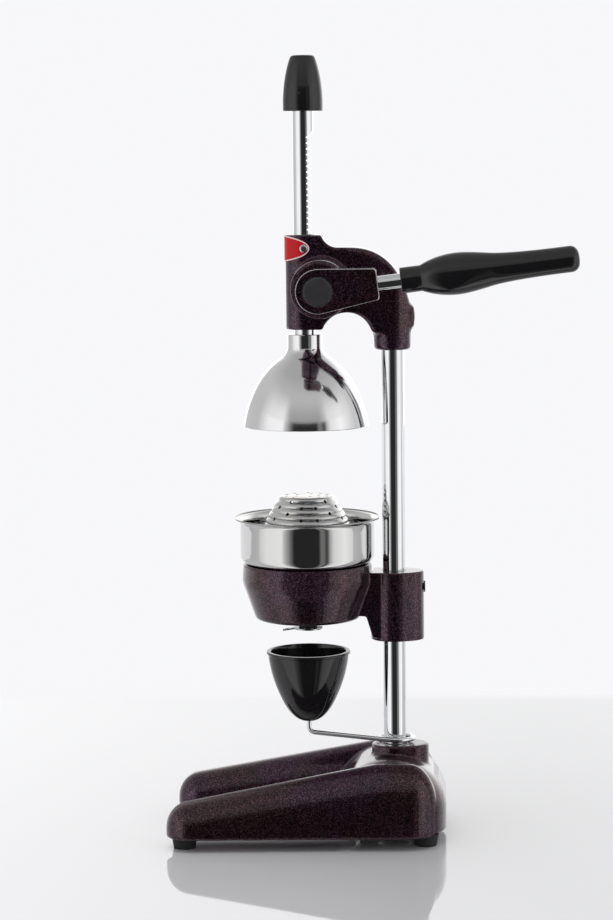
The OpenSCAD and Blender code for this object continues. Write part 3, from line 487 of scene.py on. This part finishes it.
def solid_of(node, name):
    """A copy of a CAD node's shape with its loose triangles merged"""
    source = frame["nodes"][node]
    piece = bpy.data.objects.new(name, source.data.copy())
    bpy.context.scene.collection.objects.link(piece)
    take(piece)
    bpy.ops.mesh.customdata_custom_splitnormals_clear()
    bpy.ops.object.mode_set(mode="EDIT")
    bpy.ops.mesh.select_all(action="SELECT")
    bpy.ops.mesh.remove_doubles(threshold=1e-6)
    bpy.ops.object.mode_set(mode="OBJECT")
    return piece


def carried(node, angle=30):
    """A CAD node's own shape, shaded smooth but for its corners"""
    piece = solid_of(node, node + "_finished")
    bpy.ops.object.shade_smooth_by_angle(angle=math.radians(angle))
    return dress(piece, node)


def on_bore_axis(point, start, direction):
    """The place on a bore's axis nearest to a point, and how far along the bore it is"""
    along = (point - start).dot(direction)
    return start + direction * along, along


def casting(node, voxel, rounds, bores=(), softer=None):
    """A CAD node's shape with the soft corners and fillets of a sand casting, and its bores kept true.
    A bore is its start, its direction, its length and its radius. A softer part is a count of more
    rounds and their weight at a place."""
    piece = solid_of(node, node + "_cast")
    modify(piece, "REMESH", mode="VOXEL", voxel_size=voxel, adaptivity=0)
    true_places = {}
    passes = [(rounds, lambda place: 1.0)] + ([softer] if softer else [])
    for _, weight_at in passes:
        kept = piece.vertex_groups.new(name="soft")
        for v in piece.data.vertices:
            weight = weight_at(v.co)
            for start, direction, length, radius in bores:
                centre, along = on_bore_axis(v.co, start, direction)
                out = v.co - centre
                if -voxel < along < length + voxel and abs(out.length - radius) < voxel * 1.3:
                    weight *= 0.15
                    true_places[v.index] = (start, direction, radius)
            kept.add([v.index], weight, "REPLACE")
    for (count, _), group in zip(passes, [g.name for g in piece.vertex_groups]):
        modify(piece, "SMOOTH", factor=0.5, iterations=count, vertex_group=group)
    for index, (start, direction, radius) in true_places.items():
        v = piece.data.vertices[index]
        centre, along = on_bore_axis(v.co, start, direction)
        out = v.co - centre
        v.co = centre + out.normalized() * max(out.length, radius)
    piece.vertex_groups.clear()
    take(piece)
    bpy.ops.object.shade_smooth()
    return dress(piece, node)


def curve(a, b, c, n=10):
    """Points of a quadratic curve from a to c, pulled towards b"""
    a, b, c = Vector(a), Vector(b), Vector(c)
    shares = [i / n for i in range(n + 1)]
    return [tuple(a * (1 - t) ** 2 + b * 2 * t * (1 - t) + c * t * t) for t in shares]


def arc(centre, r, start, end, n=8):
    angles = [math.radians(start + (end - start) * i / n) for i in range(n + 1)]
    return [(centre[0] + r * math.cos(a), centre[1] + r * math.sin(a)) for a in angles]


def turned(name, profile, sides=160):
    """A piece turned about the Z axis from its profile of radius and height in millimetres.
    A profile that starts or ends on the axis is closed there."""
    points = [(r * MM, z * MM) for r, z in profile]
    points = [p for i, p in enumerate(points) if i == 0 or math.dist(p, points[i - 1]) > 1e-6]
    centre_start, centre_end = points[0][0] < 1e-6, points[-1][0] < 1e-6
    rings = points[1 if centre_start else 0 : -1 if centre_end else None]
    closed = not (centre_start or centre_end)
    radius, height = rings[0]
    deselect()
    bpy.ops.mesh.primitive_circle_add(
        vertices=sides,
        radius=radius,
        location=(0, 0, height),
        fill_type="NGON" if centre_start else "NOTHING",
    )
    piece = bpy.context.object
    piece.name = name
    bpy.ops.object.mode_set(mode="EDIT")
    bpy.ops.mesh.select_mode(type="EDGE")
    bpy.ops.mesh.select_all(action="SELECT")
    if centre_start:
        bpy.ops.mesh.delete(type="ONLY_FACE")
        bpy.ops.mesh.select_all(action="SELECT")
        bpy.ops.mesh.extrude_region_move(TRANSFORM_OT_translate={"value": (0, 0, points[0][1] - height)})
        bpy.ops.mesh.merge(type="CENTER")
        bpy.ops.mesh.select_all(action="DESELECT")
        pick_ring(piece, height, radius)
    for ring_r, ring_z in rings[1:] + ([rings[0]] if closed else []):
        bpy.ops.mesh.extrude_region_move(TRANSFORM_OT_translate={"value": (0, 0, ring_z - height)})
        scale = ring_r / radius
        bpy.ops.transform.resize(value=(scale, scale, 1), center_override=(0, 0, ring_z))
        radius, height = ring_r, ring_z
    if centre_end:
        bpy.ops.mesh.extrude_region_move(TRANSFORM_OT_translate={"value": (0, 0, points[-1][1] - height)})
        bpy.ops.mesh.merge(type="CENTER")
    bpy.ops.object.mode_set(mode="OBJECT")
    settle(piece)
    return piece


def pick_ring(piece, height, radius):
    """Selects the edges of one ring in edit mode, by its place"""
    bpy.ops.object.mode_set(mode="OBJECT")
    mesh = piece.data
    place = piece.matrix_world
    on = set()
    for v in mesh.vertices:
        p = place @ v.co
        if abs(p.z - height) < 1e-6 and abs(math.hypot(p.x, p.y) - radius) < 1e-5:
            on.add(v.index)
    for v in mesh.vertices:
        v.select = v.index in on
    for e in mesh.edges:
        e.select = e.vertices[0] in on and e.vertices[1] in on
    bpy.ops.object.mode_set(mode="EDIT")


def moved(piece, matrix):
    piece.matrix_world = matrix @ piece.matrix_world
    settle(piece)
    return piece


# ---- Camera, floor and lights ----

WALL = (0.935, 0.935, 0.957)
CAMERA_PLACE = (2.4571, 0.1202, 0.6162)
CAMERA_DOWN, CAMERA_ROUND, CAMERA_ROLL = 83.76, 92.8, -0.6
FOCAL_PX = 2700
PICTURE_PX = 920
SENSOR_MM = 36
TABLE_FAR_X, TABLE_SPLIT_X, TABLE_NEAR_X = -6.0, 0.105, 3.0
TABLE_W = 10
WALL_X = -0.60


def camera():
    data = bpy.data.cameras.new("camera")
    data.lens = FOCAL_PX / PICTURE_PX * SENSOR_MM
    data.sensor_width = SENSOR_MM
    cam = bpy.data.objects.new("camera", data)
    bpy.context.scene.collection.objects.link(cam)
    turn = Euler((math.radians(CAMERA_DOWN), 0, math.radians(CAMERA_ROUND))).to_matrix().to_4x4()
    roll = Matrix.Rotation(math.radians(CAMERA_ROLL), 4, "Z")
    cam.matrix_world = Matrix.Translation(CAMERA_PLACE) @ turn @ roll
    data.clip_start, data.clip_end = 0.05, 50
    bpy.context.scene.camera = cam


def emission(name, strength_of):
    """A material that only glows, at a level worked out from its own place"""
    f = Finish(name, (0, 0, 0), 0.0, 1.0)
    glow = f.add("ShaderNodeEmission", Strength=strength_of(f))
    f.tree.links.new(glow.socket, f.tree.nodes["Material Output"].inputs[0])
    return f.material


def table(name, x0, x1):
    """A part of the glossy table. Past its far edge it is as bright as the wall."""
    deselect()
    bpy.ops.mesh.primitive_plane_add(size=1, location=((x0 + x1) / 2, 0, 0))
    piece = bpy.context.object
    piece.name = name
    piece.scale = (x1 - x0, TABLE_W, 1)
    bpy.ops.object.transform_apply(location=True, rotation=False, scale=True)
    f = Finish(name + "_laminate", (0.66, 0.66, 0.67), 0.0, 0.03, ior=1.75)
    x, y, _ = f.xyz()
    drift = f.noise(2.5, 2)
    # Painted shade: the table is painted darker towards +Y, where less light falls on it
    painted_falloff_shade = y.step(-0.02, 0.32)
    f.plug("Base Color", f.mix(painted_falloff_shade, (0.61, 0.61, 0.622), (0.50, 0.50, 0.512)))
    f.plug("Roughness", 0.025 + drift * 0.02)
    wall = f.add("ShaderNodeEmission", Color=(*WALL, 1))
    blend = f.add("ShaderNodeMixShader", None, x.step(WALL_X, WALL_X - 0.06))
    f.tree.links.new(f.shader.outputs[0], blend.socket.node.inputs[1])
    f.tree.links.new(wall.socket, blend.socket.node.inputs[2])
    f.tree.links.new(blend.socket, f.tree.nodes["Material Output"].inputs[0])
    piece.data.materials.append(f.material)
    return piece


def floor():
    """The table under the press, and the part in front of it that the press's sides don't mirror"""
    table("floor", TABLE_FAR_X, TABLE_SPLIT_X)
    table("floor_front", TABLE_SPLIT_X, TABLE_NEAR_X).visible_glossy = False


# The room's brightness by direction in degrees: 0 is behind the camera, 90 past the press's rear,
# -90 past its front and 180 the wall. LOW_ROOM holds up to 18 degrees over the horizon, and
# HIGH_ROOM from 20, where the ceiling starts to take over.
LOW_ROOM = [
    (-180, 1.3), (-165, 1.5), (-154, 1.4), (-147, 0.63), (-100, 0.61), (-72, 1.05), (-42, 1.12),
    (-37, 0.66), (-30, 0.37), (-26, 0.2), (-20, 0.025), (23, 0.025), (26, 0.22), (31, 0.22),
    (35, 0.07), (38, 0.10), (42, 0.52), (49, 0.93), (70, 1.16), (94, 0.84), (109, 0.67),
    (117, 0.72), (126, 1.2), (140, 1.6), (165, 1.6), (180, 1.3),
]
HIGH_ROOM = [
    (-180, 1.3), (-160, 1.2), (-150, 0.63), (-100, 0.61), (-72, 0.92), (-42, 1.0), (-30, 0.45),
    (-22, 0.40), (28, 0.40), (36, 0.55), (46, 0.88), (70, 1.0), (94, 0.84), (109, 0.67),
    (117, 0.72), (126, 1.1), (140, 1.3), (180, 1.3),
]


def room_level(f):
    """How bright the room is in each direction: a dark band behind the camera, grey over it,
    bright windows at both sides and a white wall behind the press"""
    x, y, z = f.xyz()
    level_out = (x * x + y * y) ** 0.5
    turn = f.maths("ARCTAN2", y, x) * (360 / TAU)
    rise = f.maths("ARCTAN2", z, level_out) * (360 / TAU)
    low = f.ramp(turn, LOW_ROOM)
    high = f.ramp(turn, HIGH_ROOM)
    level = low + (high - low) * rise.step(18, 20)
    ceiling = (0.80 - rise * 0.0055).most(0.45)
    return level + (ceiling - level) * rise.step(20, 46)


def room():
    """The room round the press as mirrors and glossy paint see it"""
    deselect()
    bpy.ops.mesh.primitive_uv_sphere_add(segments=48, ring_count=24, radius=4, location=(0, 0, 0.3))
    piece = bpy.context.object
    piece.name = "room"
    piece.data.materials.append(emission("room_light", room_level))
    piece.visible_camera = False
    piece.visible_diffuse = False
    piece.visible_shadow = False
    piece.visible_transmission = False


def lamp(name, location, target, size, power):
    data = bpy.data.lights.new(name, "AREA")
    data.shape = "RECTANGLE"
    data.size, data.size_y = size
    data.energy = power
    light = bpy.data.objects.new(name, data)
    bpy.context.scene.collection.objects.link(light)
    light.visible_glossy = False
    light.location = location
    light.rotation_mode = "QUATERNION"
    light.rotation_quaternion = (Vector(target) - Vector(location)).to_track_quat("-Z", "Y")


def studio():
    world = bpy.data.worlds.new("studio")
    bpy.context.scene.world = world
    world.use_nodes = True
    tree = world.node_tree
    tree.nodes.clear()
    path = tree.nodes.new("ShaderNodeLightPath")
    out = tree.nodes.new("ShaderNodeOutputWorld")
    wall = tree.nodes.new("ShaderNodeBackground")
    wall.inputs["Color"].default_value = (*WALL, 1)
    air = tree.nodes.new("ShaderNodeBackground")
    air.inputs["Color"].default_value = (0.80, 0.80, 0.81, 1)
    seen = tree.nodes.new("ShaderNodeMath")
    seen.operation = "MAXIMUM"
    tree.links.new(path.outputs["Is Camera Ray"], seen.inputs[0])
    tree.links.new(path.outputs["Is Glossy Ray"], seen.inputs[1])
    blend = tree.nodes.new("ShaderNodeMixShader")
    tree.links.new(seen.outputs[0], blend.inputs[0])
    tree.links.new(air.outputs[0], blend.inputs[1])
    tree.links.new(wall.outputs[0], blend.inputs[2])
    tree.links.new(blend.outputs[0], out.inputs[0])
    lamp("top_lamp", (0.3, -0.4, 2.2), (0, 0, 0.2), (1.6, 1.6), 16)
    bpy.context.scene.view_settings.view_transform = "Standard"


camera()
studio()
room()
floor()


# ---- Castings ----

UP = Vector((0, 0, 1))
ALONG_SHAFT = Vector((1, 0, 0))


def round_arm(place):
    """How much the head is rounded further: its arm and the outer edge of its barrel"""
    from_barrel = math.hypot(place.y - PINION.y, place.z - PINION.z)
    barrel = 0.9 if place.x > BARREL_FACE_X - 0.01 and from_barrel < BARREL_R + 0.0015 else 0
    return max(barrel, min(1, max(0, (place.y - HEAD_ARM_Y) / 0.012)))


casting("base_casting", 1.3 * MM, 10, [(Vector((0, POST_Y, 0.033)), UP, 0.06, POST_R)])
casting("holder_casting", 0.9 * MM, 3, [(Vector((0, POST_Y, 0.175)), UP, 0.08, POST_R)])
casting(
    "head_casting",
    1.0 * MM,
    10,
    [
        (Vector((0, 0, 0.46)), UP, 0.1, ROD_BORE_R),
        (Vector((0, POST_Y, 0.44)), UP, 0.07, POST_R),
        (Vector((-0.01, PINION.y, PINION.z)), ALONG_SHAFT, 0.08, SHAFT_BORE_R),
    ],
    (90, round_arm),
)
casting("lever_arm", 0.8 * MM, 5)


# ---- Turned pieces ----


def juice_bowl():
    top, wall, low, lip, t, corner, outlet = BOWL_TOP / MM, BOWL_R / MM, 252.5, 67.1, 1.2, 8.0, 190.5
    flare, funnel_r, tube_r = top - 5.5, 48.1, 7.2
    profile = [(tube_r, outlet), (tube_r, low - 11), (funnel_r, low)]
    profile += arc((wall - corner, low + corner), corner, -90, 0, 12)
    profile += [(wall, low + 14), (wall, flare - 5), (wall, flare)]
    profile += curve((wall, flare), (wall + 0.5, top - 1.5), (lip, top - 1.2), 24)
    profile += arc((lip - 0.6, top - 0.6), 0.6, -45, 180, 14)
    profile += curve((lip - t, top - 1.0), (wall - t + 1.2, top - 1.1), (wall - t, flare), 24)
    profile += [(wall - t, flare - 5), (wall - t, low + 14)]
    profile += arc((wall - corner, low + corner), corner - t, 0, -90, 12)
    profile += [(funnel_r, low + t), (tube_r - t, low - 11 + t), (tube_r - t, outlet), (tube_r, outlet)]
    return turned("juice_bowl_spun", profile)


def press_cone():
    r, bell_h, neck_h, neck_r, wall, socket = 57.3, 62.0, 22.0, 15.9, 3.2, 15.0
    top, seat = bell_h + neck_h, bell_h - 1
    waist, crown = (r - 15.9, bell_h - 18.3), (neck_r + 7.3, bell_h)
    waist_in, crown_in = (waist[0] - 3, waist[1] - 1.7), (crown[0] - 3.2, crown[1] - 3.5)
    profile = [(r - wall, 0.5), (r - wall + 0.4, 0), (r - 0.5, 0)]
    profile += curve((r - 0.07, 0.5), (r - 3.8, 25), waist, 30)
    profile += curve(waist, (r - 22.3, bell_h - 8.4), crown, 24)[1:]
    profile += curve(crown, (neck_r + 0.7, bell_h + 4.3), (neck_r, bell_h + 10), 16)[1:]
    profile += [(neck_r, top - 4)] + arc((neck_r - 0.8, top - 0.8), 0.8, 0, 90, 6)
    profile += [(9.55, top), (9.55, top - socket), (4.3, top - socket), (4.3, seat), (9.3, seat)]
    profile += curve(crown_in, (r - 25.3, bell_h - 10.8), waist_in, 20)
    profile += curve(waist_in, (r - 3.8 - wall, 24), (r - wall, 0.5), 24)[1:]
    return turned("press_cone_polished", [(p, z + RIM_Z / MM) for p, z in profile], 192)


def strainer():
    """The ribbed dome on its flange, drilled through"""
    low, r, top_r, h, t, flange = 255.2, 45.5, STRAINER_TOP_R / MM, 59.5, 1.2, 52.0
    pitch, groove, rib = 5.2, 55.9, 0.9

    def side(rise):
        return r - (r - top_r) * (rise / (h - 1.5)) ** 2

    def ribbed(inset, swell):
        steps = [i / 8 for i in range(81)]
        rises = [groove - pitch * (10 - s) for s in steps]
        swells = [swell * abs(math.sin(math.pi * s)) ** 0.8 - inset for s in steps]
        return [(side(z) + out, z) for out, z in zip(swells, rises)]

    edge = [(top_r + 1.3, h - 2.2), (top_r + 0.9, h - 1.2), (top_r + 0.2, h - 0.4), (top_r - 0.8, h)]
    profile = [(r - t, -t), (flange - 0.3, -t), (flange, -t / 2), (flange - 0.3, 0), (r + 0.3, 0)]
    profile += ribbed(0, rib) + edge + [(0, h)]
    inside = [(r - t, -t)] + ribbed(t, rib) + [(p - t, z - t) for p, z in edge]
    profile = [(0, h - t)] + [p for p in reversed(inside)] + profile[1:]
    piece = turned("strainer_pressed", [(p, z + low) for p, z in profile], 180)
    drills = [drill(*place) for place in holes(low, top_r, h, groove, pitch)]
    deselect()
    for bit in drills:
        bit.select_set(True)
    bpy.context.view_layer.objects.active = drills[0]
    bpy.ops.object.join()
    modify(piece, "BOOLEAN", object=drills[0], operation="DIFFERENCE", solver="EXACT")
    bpy.data.objects.remove(drills[0], do_unlink=True)
    settle(piece)
    return piece


def holes(low, top_r, h, groove, pitch):
    """Rows of five single holes and rows of five pairs by turns, and two rings on the top"""
    found = []
    for row in range(7):
        singles = [42 + 72 * k for k in range(5)]
        pairs = [6 + 72 * k + 12 * s for k in range(5) for s in (-1, 1)]
        for a in singles if row % 2 == 0 else pairs:
            found.append((top_r + 8, a, low + groove - row * pitch, True))
    found += [(top_r * 0.8, 36 * k, low + h, False) for k in range(10)]
    found += [(top_r * 0.45, 72 * k + 18, low + h, False) for k in range(5)]
    return found


def drill(out, angle, height, sideways):
    """A bit for one hole, from its place in cylinder coordinates"""
    a = math.radians(angle)
    deselect()
    bpy.ops.mesh.primitive_cylinder_add(
        vertices=20,
        radius=1.5 * MM,
        depth=0.034 if sideways else 0.003,
        location=(out * MM * math.cos(a), out * MM * math.sin(a), height * MM),
        rotation=(0, TAU / 4, a) if sideways else (0, 0, 0),
    )
    return bpy.context.object


def rod_knob():
    low, h, r, top_r = KNOB_Z / MM, 50.0, 18.2, 11.6
    profile = [(9.55, 0), (r - 1.4, 0)] + arc((r - 1.4, 1.4), 1.4, -90, 0, 6)
    profile += [(r, 6)] + curve((r, 10), (r - 0.8, h * 0.64), (top_r, h - 2.2), 40)
    profile += curve((top_r, h - 2.2), (top_r - 0.7, h - 0.5), (top_r - 2.2, h), 6)[1:]
    profile += [(0, h)]
    closed = [(0, 26), (9.55, 26)] + profile
    return turned("rod_knob_moulded", [(p, z + low) for p, z in closed])


def drip_cup():
    low, r, h, wall = CUP_Z / MM, 38.7, 66.0, 3.0
    outside = [(0, 6), (2.35, 6), (2.35, 0.3), (2.7, 0)]
    outside += curve((2.7, 0.05), (r * 0.42, 0.8), (r * 0.68, h * 0.36), 40)[1:]
    outside += curve((r * 0.68, h * 0.36), (r * 0.89, h * 0.62), (r - 1.7, h - 6), 30)[1:]
    outside += [(r - 1.6, h - 3.4)] + curve((r - 1.6, h - 3.0), (r - 0.7, h - 2.9), (r, h - 2.2), 6)
    outside += [(r, h - 0.8)] + arc((r - 0.8, h - 0.8), 0.8, 0, 90, 6)
    mouth, waist = (r - 1.7 - wall, h - 6), (r * 0.68 - wall * 0.85, h * 0.36)
    inside = [(r - wall - 0.2, h)] + curve((r - wall - 0.9, h - 0.6), (r - wall - 1.3, h - 2), mouth, 6)
    inside += curve(mouth, (r * 0.89 - wall, h * 0.62), waist, 30)[1:]
    inside += curve(waist, (r * 0.42 - wall * 0.6, 9), (8, 8), 30)[1:]
    return turned("drip_cup_moulded", [(p, z + low) for p, z in outside + inside + [(0, 8)]])


def at_lever():
    """From a piece turned about Z at the origin to the lever's own line, which runs back and up"""
    lever = Matrix.Translation(PINION) @ Matrix.Rotation(LEVER_TILT, 4, "X")
    return lever @ Matrix.Translation((LEVER_X, 0, 0)) @ Matrix.Rotation(math.radians(-90), 4, "X")


def lever_grip():
    start, collar, end_r, h, corner = 73.0, 11.5, 11.7, 156.95, 8.0
    swell, belly, taper = (18.35, 44), (18.1, 58), (14.7, 79.5)
    profile = [(0, 60), (6.55, 60), (6.55, 0), (collar - 0.8, 0)]
    profile += arc((collar - 0.8, 0.8), 0.8, -90, 0, 5)
    profile += [(collar, 6), (collar, 18)]
    profile += curve((collar, 18), (17.2, 29.5), swell, 30)[1:]
    profile += curve(swell, (18.85, 50.5), belly, 12)[1:]
    profile += curve(belly, (17.2, 66), taper, 16)[1:]
    profile += curve(taper, (12.6, 91), (end_r + 0.15, 122), 20)[1:]
    profile += [(end_r, 134), (end_r, h - corner)]
    profile += arc((end_r - corner, h - corner), corner, 0, 90, 16)[1:]
    profile += [(0, h)]
    piece = turned("lever_grip_moulded", [(p, z + start) for p, z in profile])
    return moved(piece, at_lever())


def lever_cap():
    """The cap lies on its side: its axis is the shaft's"""
    r, deep, out = 12.5, 7.0, 1.0
    profile = [(0, 5.3), (10.5, 5.3), (10.5, 0), (r, 0), (r, deep)]
    profile += curve((r, deep), (r, deep + out), (r - 1.6, deep + out), 8)
    profile += [(6, deep + out), (0, deep + out - 0.25)]
    piece = turned("lever_cap_moulded", profile, 96)
    place = Matrix.Translation((LEVER_CAP_X, PINION.y, PINION.z))
    lay = place @ Matrix.Rotation(math.radians(90), 4, "Y")
    return moved(piece, lay)


dress(juice_bowl(), "juice_bowl")
dress(press_cone(), "press_cone")
dress(strainer(), "strainer")
dress(rod_knob(), "rod_knob")
dress(drip_cup(), "drip_cup")
dress(lever_grip(), "lever_grip")
dress(lever_cap(), "lever_cap")


# ---- Drip arm ----


def drip_arm():
    """The bent wire: down out of the cup, back to the post and once round it"""
    eye_r, bend_r, wire_r = 0.017, 0.006, 0.00225
    wire_z = BOSS_TOP + 0.0098
    eye_z, eye_drop, eye_end = BOSS_TOP + wire_r + 0.0003, 0.0032, math.radians(250)
    tangent = math.asin(eye_r / (POST_Y - bend_r))
    run = Vector((math.sin(tangent), math.cos(tangent), 0))
    start = Vector((0, 0, wire_z + bend_r))
    path = [Vector((0, 0, CUP_Z + 0.0055)), start + UP * 0.002]
    for i in range(13):
        a = TAU / 4 * i / 12
        path.append(start + run * bend_r * (1 - math.cos(a)) - UP * bend_r * math.sin(a))
    first = path[-1]
    eye_start = Vector((eye_r * math.cos(tangent), POST_Y - eye_r * math.sin(tangent), eye_z + eye_drop))
    path += [first.lerp(eye_start, i / 12) for i in range(1, 12)]
    for i in range(49):
        t = i / 48
        a = -tangent + (eye_end + tangent) * t
        path.append(Vector((eye_r * math.cos(a), POST_Y + eye_r * math.sin(a), eye_z + eye_drop * (1 - t))))
    line = bpy.data.curves.new("drip_arm_wire", "CURVE")
    line.dimensions = "3D"
    line.bevel_depth = wire_r
    line.bevel_resolution = 6
    line.use_fill_caps = True
    spline = line.splines.new("POLY")
    spline.points.add(len(path) - 1)
    for point, place in zip(spline.points, path):
        point.co = (*place, 1)
    piece = bpy.data.objects.new("drip_arm_bent", line)
    bpy.context.scene.collection.objects.link(piece)
    take(piece)
    bpy.ops.object.convert(target="MESH")
    piece = bpy.context.object
    settle(piece, 50)
    return piece


dress(drip_arm(), "drip_arm")


# ---- Pieces whose solids are already right ----

for node in (
    "rubber_feet foot_screws post post_bolt post_washer holder_screw spout_seal spout_clip "
    "head_screw shaft_bush shaft_ring name_plate plate_rivets rack_rod cone_screw pinion_shaft "
    "lever_key lever_washer lever_bolt lever_rod"
).split():
    carried(node)

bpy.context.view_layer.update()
deselect()
